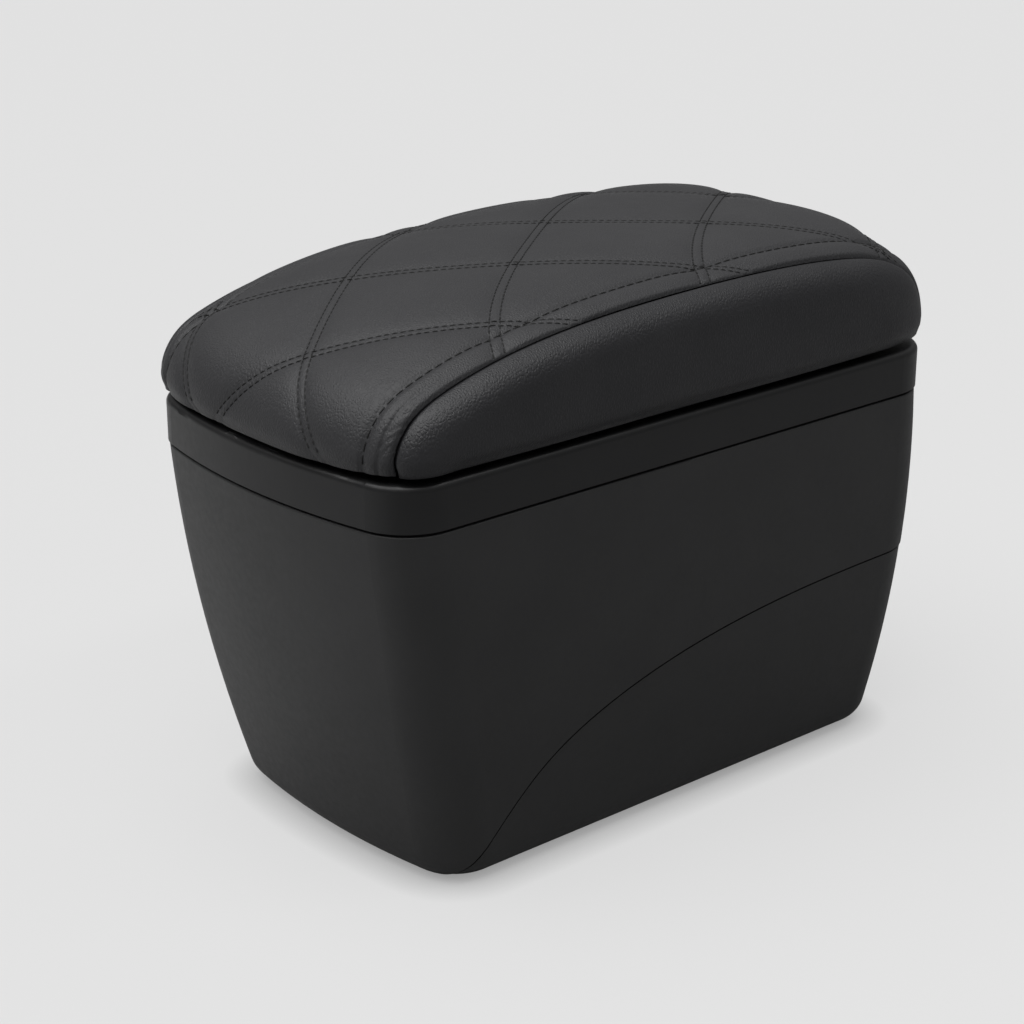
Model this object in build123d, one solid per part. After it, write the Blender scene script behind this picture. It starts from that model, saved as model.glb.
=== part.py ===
from build123d import *
import os
from math import cos, radians, sin

# Car centre armrest: a tapered box with a storage bin and a padded, quilted lid on a rear hinge.
# Frame: +Z up, X across, Y along, the opening end faces -Y. The origin is under the middle of the box,
# at the centre of its fixing holes.

# Box, seen from above at the rim
length = 300.0
width = 161.0
corner_radius = 23.0
front_bow = 11.0
rear_bow = 5.7

# Box, seen from the side: swell and tuck of each wall from the rim down to the floor
body_height = 153.5
side_swell = 5.0
side_tuck = 13.7
front_rake = 17.7
front_tuck = 14.2
rear_swell = 5.0
rear_tuck = 20.0
base_bow = 7.9
bottom_round = 12.5
wall = 3.0
rim_round = 0.8
foot_stand = 0.6

# Swept seam between the body shell and the base shell, from the front floor to the rear, as shares of the
# box's length and height
seam_shape = [
    (-0.38, -0.039), (-0.317, 0.116), (-0.237, 0.277), (-0.11, 0.403), (0.07, 0.489), (0.267, 0.529),
    (0.567, 0.547),
]
seam_gap = 0.9
base_inset = 0.4
lip_reach = 8.0
lip_thickness = 2.0
lap_clearance = 0.2

# Collar round the mouth
collar_height = 19.5
collar_proud = 0.5
collar_groove = 1.2
groove_depth = 1.6
collar_edge_round = 3.0
rim_thickness = 3.0
mouth_lip = 3.2

# Storage bin, hung on the shelf of the body shell
shelf_thickness = 2.5
shelf_reach = 13.0
bin_wall = 2.0
bin_clearance = 0.2
bin_flange = 2.0
bin_flange_edge = 4.0
bin_round = 8.0
mat_thickness = 1.5
mat_clearance = 1.0

# Screws: shank, head and the clearance of their holes
screw_radius = 1.5
screw_head_radius = 3.0
screw_head_height = 1.6
pilot_clearance = 0.05
hole_clearance = 0.3
boss_wall = 2.2
collar_screw_inset = 8.0
collar_screw_rows = 3
collar_screw_pitch = 85.0
collar_screw_length = 14.0
bin_screw_side = 32.5
bin_screw_front = 88.0
bin_screw_rear = 58.0
bin_screw_length = 9.0

# Fixing holes and feet in the base
fixing_radius = 2.75
fixing_width = 60.0
fixing_length = 110.0
foot_radius = 9.0
foot_recess = 1.2
foot_side = 34.5
foot_front = 66.0
foot_rear = 46.0

# Lid: arched strip between two side panels
lid_gap = 3.2
lid_front_inset = 9.4
lid_rear_inset = 6.5
strip_inset = 7.0
seam_height = 43.5
crown = 9.6
front_crown = 13.0
rear_crown = 8.0
crown_power = 3.5
rear_fullness = 1.28
arch_top = 0.616
arch_shape = [
    (0, 0), (0.011, 0.258), (0.032, 0.438), (0.085, 0.618), (0.208, 0.825), (0.422, 0.971),
    (arch_top, 1), (0.816, 0.939), (0.922, 0.787), (0.978, 0.528), (0.999, 0.1), (1, 0),
]
cover_thickness = 5.0
panel_bulge = 10.5
panel_front_wrap = 18.0
panel_rear_wrap = 23.0
panel_rear_lead = 10.5
panel_top_wrap = 9.0
seam_slit = 0.15
layer_clearance = 0.1

# Quilting: double rows that cross as diamonds, as channels pressed into the strip
falling_start = 58.3
falling_pitch = 104.4
falling_slope = -1.315
rising_start = 22.7
rising_pitch = 90.1
rising_slope = 1.147
quilt_depth = 1.6
quilt_tool_radius = 5.0
quilt_overrun = 4.0
quilt_run_out = 16.0
quilt_steps = 8
quilt_rows = range(-1, 4)

# Lid pan, liner and ribs
pan_edge = 7.0
pan_thickness = 3.5
liner_thickness = 2.0
liner_edge = 5.4
plate_corner = 8.0
rib_height = 4.0
rib_thickness = 3.0
lid_screw_side = 13.5
lid_screw_rows = 3
lid_screw_end = 40.0
lid_screw_length = 9.0

# Hinge at the rear, in a notch of the lid
hinge_overhang = 1.0
hinge_rise = 1.2
knuckle_radius = 4.2
knuckle_clearance = 0.8
knuckle_side_gap = 0.5
hinge_half = 42.0
lid_knuckle_inner = 8.0
lid_knuckle_outer = 26.5
pin_radius = 1.5
pin_fit = 0.05
pin_head_radius = 2.6
pin_head_height = 1.5
bush_wall = 0.9
bush_fit = 0.05
arm_reach = 22.0
hinge_block_depth = 12.0
gusset_height = 13.0
notch_clearance = 1.8
retainer_radius = 3.2
retainer_thickness = 0.8

# Magnet catch and bumpers at the front
magnet_length = 26.0
magnet_width = 8.0
magnet_height = 4.0
magnet_inset = 8.5
pocket_wall = 2.5
pocket_clearance = 0.1
keeper_width = 10.0
keeper_thickness = 1.5
keeper_inset = 12.2
bumper_radius = 4.0
bumper_recess = 1.0
bumper_side = 30.5
bumper_inset = 13.5
bumper_clearance = 0.2

# Levels and places worked out from the sizes above
seam_points = [(y * length, z * body_height) for y, z in seam_shape]
collar_top = body_height + collar_height
lid_front = lid_front_inset - length / 2
lid_rear = length / 2 - lid_rear_inset
strip_half = width / 2 - strip_inset
lid_screw_spread = strip_half - lid_screw_side
lid_screw_pitch = length / 2 - lid_screw_end
rib_spread = strip_half / 2
hinge_y = length / 2 + hinge_overhang
hinge_z = collar_top + hinge_rise
magnet_y = magnet_inset - length / 2
keeper_y = keeper_inset - length / 2
bumper_y = bumper_inset - length / 2
bumper_spread = width / 2 - bumper_side
lid_bottom = collar_top + lid_gap
flange_top = body_height + bin_flange
rim_under = collar_top - rim_thickness
bin_outer = shelf_reach + bin_clearance
bin_inner = bin_outer + bin_wall
bin_floor = foot_stand + bin_inner
pan_bottom = lid_bottom + liner_thickness
pan_top = pan_bottom + pan_thickness
base_bottom = foot_stand + base_inset
pilot_radius = screw_radius + pilot_clearance
through_radius = screw_radius + hole_clearance


def plan(half, front, rear, bow_front, bow_rear, radius):
    """Outline with bowed ends, straight sides and rounded corners."""
    edges = ThreePointArc((-half, front + bow_front), (0, front), (half, front + bow_front))
    edges += Line((half, front + bow_front), (half, rear - bow_rear))
    edges += ThreePointArc((half, rear - bow_rear), (0, rear), (-half, rear - bow_rear))
    edges += Line((-half, rear - bow_rear), (-half, front + bow_front))
    face = make_face(edges)
    return fillet(face.vertices(), radius)


def body_plan(z, inset):
    """Outline of the box at a height, moved inwards by the inset."""
    drop = 1 - z / body_height
    half = width / 2 + side_swell * drop - side_tuck * drop**2 - inset
    front = -length / 2 + front_rake * drop + front_tuck * drop**2 + inset
    rear = length / 2 + rear_swell * drop - rear_tuck * drop**2 - inset
    bow = front_bow + (base_bow - front_bow) * drop
    return Pos(0, 0, z) * plan(half, front, rear, bow, rear_bow, max(corner_radius - inset, 2))


def tub(inset, top, edge_round):
    """Solid that fills the box up to a level, at an inset from its outside, with a rounded floor edge."""
    bottom = foot_stand + inset
    levels = [bottom + (top - bottom) * i / 3 for i in range(4)]
    solid = loft([body_plan(z, inset) for z in levels])
    return fillet(solid.edges().group_by(Axis.Z)[0], edge_round)


def skin(inset):
    """Tub parallel to the outside of the box, up to the rim."""
    return tub(inset, body_height, max(bottom_round - inset, 2))


def ring_fill(inset, low, high):
    """Straight prism on the rim's outline, between two levels."""
    half = width / 2 - inset
    radius = max(corner_radius - inset, 2)
    face = plan(half, inset - length / 2, length / 2 - inset, front_bow, rear_bow, radius)
    return extrude(Pos(0, 0, low) * face, high - low)


def under_seam(dy, dz):
    """Space below the swept seam, moved by a small step."""
    points = [(y + dy, z + dz) for y, z in seam_points]
    low = points[0][1] - body_height
    sides = Polyline(points[-1], (points[-1][0], low), (points[0][0], low), points[0])
    return extrude(Plane.YZ * make_face(Spline(*points) + sides), width, both=True)


def rod(radius, x0, x1, y, z):
    """Cylinder along X."""
    return Pos((x0 + x1) / 2, y, z) * Rot(0, 90, 0) * Cylinder(radius, x1 - x0)


def post(radius, x, y, low, high):
    """Cylinder along Z between two levels."""
    return Pos(x, y, (low + high) / 2) * Cylinder(radius, high - low)


def block(x, y, z):
    """Box from three (low, high) pairs."""
    middle = Pos(sum(x) / 2, sum(y) / 2, sum(z) / 2)
    return middle * Box(x[1] - x[0], y[1] - y[0], z[1] - z[0])


def pan_screw(x, y, seat, run):
    """Pan-head screw driven up from a seat."""
    head = post(screw_head_radius, x, y, seat - screw_head_height, seat)
    return head + post(screw_radius, x, y, seat, seat + run)


def flush_cone(x, y, low, radius, top_radius, height):
    """Countersink or countersunk head, from its low end up."""
    return Pos(x, y, low + height / 2) * Cone(radius, top_radius, height)


def joined(solids):
    """Solids that belong to one node."""
    return Compound(children=list(solids))


# Places of the repeated pieces
collar_screws_at = [
    (side * (width / 2 - collar_screw_inset), (i - (collar_screw_rows - 1) / 2) * collar_screw_pitch)
    for side in (-1, 1)
    for i in range(collar_screw_rows)
]
bin_screws_at = [
    (side * (width / 2 - bin_screw_side), y)
    for side in (-1, 1)
    for y in (bin_screw_front - length / 2, length / 2 - bin_screw_rear)
]
fixings_at = [
    (sx * fixing_width / 2, sy * fixing_length / 2) for sx in (-1, 1) for sy in (-1, 1)
]
feet_at = [
    (side * (width / 2 - foot_side), y)
    for side in (-1, 1)
    for y in (foot_front - length / 2, length / 2 - foot_rear)
]
lid_screws_at = [
    (side * lid_screw_spread, (i - (lid_screw_rows - 1) / 2) * lid_screw_pitch)
    for side in (-1, 1)
    for i in range(lid_screw_rows)
]
lid_knuckles_at = [(-lid_knuckle_outer, -lid_knuckle_inner), (lid_knuckle_inner, lid_knuckle_outer)]
rim_knuckles_at = [
    (-hinge_half, -lid_knuckle_outer - knuckle_side_gap),
    (knuckle_side_gap - lid_knuckle_inner, lid_knuckle_inner - knuckle_side_gap),
    (lid_knuckle_outer + knuckle_side_gap, hinge_half),
]


def make_body_shell():
    """Upper housing, cut along the swept seam, with the inner shelf that carries bin and collar."""
    outside = skin(0)
    outside = fillet(outside.edges().group_by(Axis.Z)[-1], rim_round)
    shell = outside - tub(wall, body_height + wall, bottom_round - wall)
    shell -= under_seam(-seam_gap * sin(radians(45)), seam_gap)
    shelf = ring_fill(wall / 2, body_height - shelf_thickness, body_height)
    shelf -= ring_fill(shelf_reach, body_height - 2 * shelf_thickness, body_height + shelf_thickness)
    shell += shelf
    for x, y in collar_screws_at:
        shell -= post(through_radius, x, y, body_height - 2 * shelf_thickness, body_height + shelf_thickness)
    return shell


def make_base_shell():
    """Lower rear moulding with the floor, the lap lip behind the seam, bosses, fixing holes and feet."""
    below = under_seam(0, 0)
    lip_outer = wall + lap_clearance
    lip_inner = skin(lip_outer + lip_thickness)
    reach = under_seam(-lip_reach, lip_reach)
    root = under_seam(lip_reach, -lip_reach)
    shell = (skin(base_inset) - skin(wall)) & below
    lip = ((skin(lip_outer) - lip_inner) & reach) - root
    heel = ((skin(wall / 2) - lip_inner) & below) - root
    shell = shell + lip + heel
    for x, y in bin_screws_at:
        shell += post(pilot_radius + boss_wall, x, y, base_bottom + wall / 2, foot_stand + bin_outer)
    for x, y in bin_screws_at:
        low = foot_stand + bin_outer - bin_screw_length
        shell -= post(pilot_radius, x, y, low, foot_stand + bin_inner)
    for x, y in fixings_at:
        shell -= post(fixing_radius, x, y, 0, foot_stand + bin_outer)
    for x, y in feet_at:
        shell -= post(foot_radius, x, y, 0, base_bottom + foot_recess)
    return shell


def make_collar():
    """Band round the mouth: outer wall, top rim, mouth lip, screw bosses, hinge knuckles, catch pocket."""
    collar = ring_fill(-collar_proud, body_height + collar_groove, collar_top)
    collar = fillet(collar.edges().group_by(Axis.Z)[-1], collar_edge_round)
    collar += ring_fill(groove_depth, body_height, body_height + 2 * collar_groove)
    lip_outer = bin_inner - mouth_lip
    hollow = ring_fill(wall, body_height - 1, rim_under) - ring_fill(lip_outer, body_height - 2, collar_top)
    collar -= hollow
    collar -= ring_fill(bin_inner, body_height - 1, collar_top + 1)
    collar -= ring_fill(wall, body_height - 1, flange_top)
    for x, y in collar_screws_at:
        collar += post(pilot_radius + boss_wall, x, y, flange_top, rim_under + rim_thickness / 2)
    for x, y in collar_screws_at:
        collar -= post(pilot_radius, x, y, flange_top - 1, flange_top + collar_screw_length)
    return add_catch_pocket(add_rim_knuckles(collar))


def add_rim_knuckles(collar):
    """Rear hinge: a stiff block in the rim, knuckles with gussets, and room for the lid's knuckles."""
    rear = length / 2
    foot = hinge_z - gusset_height
    back = block((-hinge_half, hinge_half), (rear - hinge_block_depth, rear), (foot, collar_top))
    collar += back & ring_fill(wall / 2, flange_top, collar_top)
    for x0, x1 in lid_knuckles_at:
        gap = knuckle_side_gap
        collar -= rod(knuckle_radius + knuckle_clearance, x0 - gap, x1 + gap, hinge_y, hinge_z)
    front = rear - wall
    tail = hinge_y + knuckle_radius
    gusset = Polyline((front, foot), (rear, foot), (tail, hinge_z - knuckle_radius), (tail, hinge_z),
                      (front, hinge_z), close=True)
    for x0, x1 in rim_knuckles_at:
        collar += extrude(Plane.YZ.offset(x0) * make_face(gusset), x1 - x0)
        collar += rod(knuckle_radius, x0, x1, hinge_y, hinge_z)
    return collar - rod(pin_radius + pin_fit, -hinge_half - 1, hinge_half + 1, hinge_y, hinge_z)


def add_catch_pocket(collar):
    """Front of the rim: the magnet's pocket and the two bumper recesses."""
    half = magnet_length / 2
    deep = magnet_width / 2
    low = collar_top - magnet_height
    grow = pocket_clearance + pocket_wall
    box = block((-half - grow, half + grow), (magnet_y - deep - grow, magnet_y + deep + grow),
                (low - pocket_wall, collar_top))
    collar += box & ring_fill(wall / 2, flange_top, collar_top)
    gap = pocket_clearance
    collar -= block((-half - gap, half + gap), (magnet_y - deep - gap, magnet_y + deep + gap),
                    (low, collar_top + 1))
    for side in (-1, 1):
        x = side * bumper_spread
        collar -= post(bumper_radius, x, bumper_y, collar_top - bumper_recess, collar_top + 1)
    return collar


def make_bin():
    """Tub that hangs by its flange between the body's shelf and the collar's lip."""
    shell = tub(bin_outer, body_height, bin_round)
    flange = ring_fill(wall + bin_flange_edge, body_height, flange_top)
    shell += flange
    shell -= tub(bin_inner, body_height, bin_round - bin_wall)
    shell -= ring_fill(bin_inner, body_height - 1, flange_top + 1)
    for x, y in collar_screws_at:
        shell -= post(through_radius, x, y, body_height - 1, flange_top + 1)
    sink_radius = screw_head_radius + hole_clearance
    for x, y in bin_screws_at:
        shell -= flush_cone(x, y, bin_floor - bin_wall, through_radius, sink_radius, bin_wall)
    return shell


def make_bin_mat():
    """Loose mat on the bin's floor."""
    inset = bin_inner + bin_round - bin_wall + mat_clearance
    return extrude(body_plan(bin_floor, inset), mat_thickness)


def make_bin_screws():
    """Countersunk screws from the bin's floor into the base's bosses."""
    low = bin_floor - bin_wall
    screws = []
    for x, y in bin_screws_at:
        head = flush_cone(x, y, low, screw_radius, screw_head_radius, bin_wall)
        screws.append(head + post(screw_radius, x, y, low - bin_screw_length, low))
    return joined(screws)


def make_feet():
    """Round pads in the floor's recesses."""
    return joined(post(foot_radius, x, y, 0, base_bottom + foot_recess) for x, y in feet_at)


def make_hinge_pin():
    """Steel pin with one head."""
    end = hinge_half + 2 * retainer_thickness
    pin = rod(pin_radius, -end, hinge_half, hinge_y, hinge_z)
    return pin + rod(pin_head_radius, hinge_half, hinge_half + pin_head_height, hinge_y, hinge_z)


def make_retainer():
    """Push-on ring on the pin's plain end."""
    ring = rod(retainer_radius, -hinge_half - retainer_thickness, -hinge_half, hinge_y, hinge_z)
    return ring - rod(pin_radius, -hinge_half - 1, -hinge_half + 1, hinge_y, hinge_z)


def make_bushes():
    """Plain bushes in the lid's knuckles."""
    bushes = []
    for x0, x1 in lid_knuckles_at:
        bore = rod(pin_radius + pin_fit, x0 - 1, x1 + 1, hinge_y, hinge_z)
        bushes.append(rod(pin_radius + pin_fit + bush_wall, x0, x1, hinge_y, hinge_z) - bore)
    return joined(bushes)


def arch_points(x, front_in, rear_in, top):
    """Points of the lid's side profile at a width, moved inwards at the ends and at the top."""
    bulge = 1 - min(abs(x) / strip_half, 1) ** crown_power
    front = lid_front - front_crown * bulge + front_in
    rear = lid_rear + rear_crown * bulge - rear_in
    height = seam_height + crown * bulge - top
    points = []
    for u, v in arch_shape:
        power = 1 + (rear_fullness - 1) * bulge if u > arch_top else 1
        points.append((front + (rear - front) * u, lid_bottom + height * (1 - (1 - v) ** power)))
    return points


def arch(x, front_in, rear_in, top):
    """Face of the lid's side profile at a width."""
    points = arch_points(x, front_in, rear_in, top)
    return Plane.YZ.offset(x) * make_face(Spline(*points) + Line(points[-1], points[0]))


def strip_fill(inset, half):
    """Crowned solid under the lid's strip, at an inset from its outside."""
    return loft([arch(half * i / 2, inset, inset, inset) for i in range(-2, 3)])


def quilt_spot(x, along):
    """Point over the strip at a width and a length from the front edge, at the tool's standing height."""
    lift = quilt_tool_radius - quilt_depth
    run = Spline(*arch_points(x, 0, 0, 0)).length
    points = arch_points(x, -lift, -lift, -lift)
    if along < 0:
        return (x, points[0][0], lid_bottom + along)
    if along > run:
        return (x, points[-1][0], lid_bottom + run - along)
    return (Plane.YZ.offset(x) * Spline(*points)).position_at(along / run)


def quilt_line(start, slope):
    """Path of one quilting channel from edge to edge of the strip."""
    reach = strip_half + quilt_overrun
    points = []
    for i in range(quilt_steps + 1):
        x = reach * (2 * i / quilt_steps - 1)
        along = start + slope * x
        run = Spline(*arch_points(x, 0, 0, 0)).length
        if -quilt_run_out < along < run + quilt_run_out:
            points.append(quilt_spot(x, along))
    return points


def quilt_channels():
    """Crossing channels of the diamond quilting."""
    lines = [quilt_line(falling_start + row * falling_pitch, falling_slope) for row in quilt_rows]
    lines += [quilt_line(rising_start + row * rising_pitch, rising_slope) for row in quilt_rows]
    tools = []
    for points in lines:
        if len(points) > 2:
            path = Spline(*points)
            section = Plane(origin=path @ 0, z_dir=path % 0) * Circle(quilt_tool_radius)
            tools.append(sweep(section, path))
    return tools


def hinge_notch():
    """Room for the hinge in the lid's rear edge."""
    top = hinge_z + knuckle_radius + notch_clearance
    return block((-hinge_half - 2, hinge_half + 2), (lid_rear - 2 * cover_thickness, length), (0, top))


def make_top_cover():
    """Quilted strip that wraps the lid from its front edge over the top to its rear edge."""
    cover = strip_fill(0, strip_half - seam_slit) - strip_fill(cover_thickness, strip_half + 1)
    for tool in quilt_channels():
        cover -= tool
    return cover - hinge_notch()


def make_side_panel():
    """Right side panel: a pillow from the seam outwards, wrapped round at its ends and top."""
    sections = []
    for turn in (0, 30, 60, 90):
        x = strip_half + seam_slit + panel_bulge * sin(radians(turn))
        fade = 1 - cos(radians(turn))
        rear_in = panel_rear_wrap * fade + panel_rear_lead * sin(radians(turn))
        sections.append(arch(x, panel_front_wrap * fade, rear_in, panel_top_wrap * fade))
    return loft(sections)


def lid_plate(edge, low, high):
    """Plate inside the lid's cover, between two levels."""
    front = lid_front - front_crown + edge
    rear = lid_rear + rear_crown - edge
    half = strip_half - seam_slit
    face = plan(half, front, rear, front_crown, rear_crown, plate_corner)
    return extrude(Pos(0, 0, low) * face, high - low)


def make_lid_pan():
    """Stiff moulding of the lid: plate, ribs, screw bosses, and hinge arms with knuckles."""
    pan = lid_plate(pan_edge, pan_bottom, pan_top)
    top = pan_top + rib_height
    long = lid_rear - lid_front - 6 * pan_edge
    for side in (-1, 1):
        x = side * rib_spread
        pan += block((x - rib_thickness / 2, x + rib_thickness / 2), (-long / 2, long / 2), (pan_bottom, top))
    for row in (-1, 0, 1):
        y = row * long / 3
        pan += block((-lid_screw_spread, lid_screw_spread), (y - rib_thickness / 2, y + rib_thickness / 2),
                     (pan_bottom, top))
    for x, y in lid_screws_at:
        pan += post(pilot_radius + boss_wall, x, y, pan_bottom, pan_bottom + lid_screw_length + boss_wall)
    for x, y in lid_screws_at:
        pan -= post(pilot_radius, x, y, pan_bottom - 1, pan_bottom + lid_screw_length)
    arm_low = lid_bottom + bumper_clearance
    for x0, x1 in lid_knuckles_at:
        pan += block((x0, x1), (hinge_y - arm_reach, hinge_y), (arm_low, hinge_z + knuckle_radius))
        pan += rod(knuckle_radius, x0, x1, hinge_y, hinge_z)
        bore = pin_radius + pin_fit + bush_wall + bush_fit
        pan -= rod(bore, x0 - 1, x1 + 1, hinge_y, hinge_z)
    return pan


def make_foam(pan):
    """Foam that fills the lid between the pan and the cover."""
    foam = strip_fill(cover_thickness + layer_clearance, strip_half - seam_slit)
    foam -= block((-width, width), (-length, length), (0, pan_top))
    for x, y in lid_screws_at:
        foam -= post(pilot_radius, x, y, pan_bottom, pan_bottom + lid_screw_length)
    return foam - pan


def make_liner():
    """Underside panel of the lid, with countersinks and the keeper's pocket."""
    liner = lid_plate(liner_edge, lid_bottom, pan_bottom)
    side = hinge_half + 2
    liner -= block((-side, side), (hinge_y - arm_reach - 1, length), (0, 2 * lid_bottom))
    sink_radius = screw_head_radius + hole_clearance
    for x, y in lid_screws_at:
        liner -= flush_cone(x, y, lid_bottom, sink_radius, through_radius, liner_thickness)
    half = magnet_length / 2 + pocket_clearance
    deep = keeper_width / 2 + pocket_clearance
    liner -= block((-half, half), (keeper_y - deep, keeper_y + deep), (0, lid_bottom + keeper_thickness))
    return liner


def make_lid_screws():
    """Countersunk screws from the liner into the pan's bosses."""
    screws = []
    for x, y in lid_screws_at:
        head = flush_cone(x, y, lid_bottom, screw_head_radius, screw_radius, liner_thickness)
        screws.append(head + post(screw_radius, x, y, pan_bottom, pan_bottom + lid_screw_length))
    return joined(screws)


def make_magnet():
    """Bar magnet in the rim."""
    half = magnet_length / 2
    deep = magnet_width / 2
    return block((-half, half), (magnet_y - deep, magnet_y + deep), (collar_top - magnet_height, collar_top))


def make_keeper():
    """Steel plate under the lid, over the magnet."""
    half = magnet_length / 2
    deep = keeper_width / 2
    top = lid_bottom + keeper_thickness
    return block((-half, half), (keeper_y - deep, keeper_y + deep), (lid_bottom, top))


def make_bumpers():
    """Rubber buttons that the lid closes on."""
    top = lid_bottom - bumper_clearance
    low = collar_top - bumper_recess
    return joined(post(bumper_radius, side * bumper_spread, bumper_y, low, top) for side in (-1, 1))


def make_collar_screws():
    """Pan-head screws from under the shelf into the collar's bosses."""
    seat = body_height - shelf_thickness
    return joined(pan_screw(x, y, seat, collar_screw_length) for x, y in collar_screws_at)


def main():
    lid_pan = make_lid_pan()
    side_panel = make_side_panel()
    nodes = {
        "body_shell": make_body_shell(),
        "base_shell": make_base_shell(),
        "rim_collar": make_collar(),
        "storage_bin": make_bin(),
        "bin_mat": make_bin_mat(),
        "bin_screws": make_bin_screws(),
        "collar_screws": make_collar_screws(),
        "foot_pads": make_feet(),
        "hinge_pin": make_hinge_pin(),
        "pin_retainer": make_retainer(),
        "catch_magnet": make_magnet(),
        "lid_bumpers": make_bumpers(),
        "lid_pan": lid_pan,
        "lid_foam": make_foam(lid_pan),
        "top_cover": make_top_cover(),
        "side_panel_right": side_panel,
        "side_panel_left": mirror(side_panel, about=Plane.YZ),
        "lid_liner": make_liner(),
        "lid_screws": make_lid_screws(),
        "keeper_plate": make_keeper(),
        "hinge_bushes": make_bushes(),
    }
    os.makedirs("parts", exist_ok=True)
    for name, solid in nodes.items():
        export_step(solid, f"parts/{name}.step")


if __name__ == "__main__":
    main()
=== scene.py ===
import logging
import math
from dataclasses import dataclass, field
from enum import Enum

import bpy
import numpy as np
from mathutils import Matrix, Vector


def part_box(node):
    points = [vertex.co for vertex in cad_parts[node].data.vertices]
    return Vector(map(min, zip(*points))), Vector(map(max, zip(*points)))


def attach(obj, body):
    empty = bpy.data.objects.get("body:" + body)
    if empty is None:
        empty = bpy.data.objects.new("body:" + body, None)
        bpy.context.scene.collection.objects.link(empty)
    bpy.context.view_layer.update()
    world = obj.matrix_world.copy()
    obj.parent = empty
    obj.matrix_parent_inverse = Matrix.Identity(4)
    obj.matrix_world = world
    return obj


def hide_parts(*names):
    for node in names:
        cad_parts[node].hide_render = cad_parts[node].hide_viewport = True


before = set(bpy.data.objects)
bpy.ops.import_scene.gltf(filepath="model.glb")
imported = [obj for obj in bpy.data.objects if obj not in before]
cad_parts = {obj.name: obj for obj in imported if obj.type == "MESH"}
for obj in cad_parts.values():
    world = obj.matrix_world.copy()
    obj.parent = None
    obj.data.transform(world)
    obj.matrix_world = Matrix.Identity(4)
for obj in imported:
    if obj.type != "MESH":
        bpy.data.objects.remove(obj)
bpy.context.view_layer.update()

LOG = logging.getLogger("armrest")
MM = 0.001
TINY = 1e-9
NORMAL_NAME = "surface_normal"

# Noise of the finishes: even stretch, octaves, span of the tone and sizes counted in grains.
EVEN = (1.0, 1.0, 1.0)
MOTTLE_OCTAVES = 4
MOTTLE_SPAN = (0.3, 0.7)
PATCH_OCTAVES = 3
PATCH_GRAINS = 6
BEND_GRAINS = 3
CREASE_SHARE = 0.35


class Side(Enum):
    """Side of the lid, as the sign of X."""

    LEFT = -1
    RIGHT = 1


class Slant(Enum):
    """Direction of a quilting row, as the sign of its slope over the strip."""

    FALLING = -1
    RISING = 1


class Grain(Enum):
    """Relief of a finish, as its pattern's factors along X, Y and Z and the octaves of its noise."""

    HIDE = ((1.0, 1.0, 0.55), 2)
    STREAK = ((1.0, 1.0, 0.16), 3)
    SPARK = (EVEN, 2)
    FIBRE = ((1.0, 0.3, 1.0), 5)


class NodeSheet:
    """Small helper that lays out the nodes of one tree."""

    def __init__(self, tree: bpy.types.NodeTree) -> None:
        """Starts with an empty sheet.

        Args:
            tree: The material or geometry tree to fill.
        """
        self.tree = tree
        tree.nodes.clear()

    def add(self, kind: str, **settings: object) -> bpy.types.Node:
        """Adds a node.

        Args:
            kind: The node's type name.
            settings: Properties of the node, by attribute name.

        Returns:
            The new node.
        """
        node = self.tree.nodes.new(kind)
        for name, value in settings.items():
            setattr(node, name, value)
        return node

    def link(self, source: bpy.types.NodeSocket, target: bpy.types.NodeSocket) -> None:
        """Joins two sockets."""
        self.tree.links.new(source, target)


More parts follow.
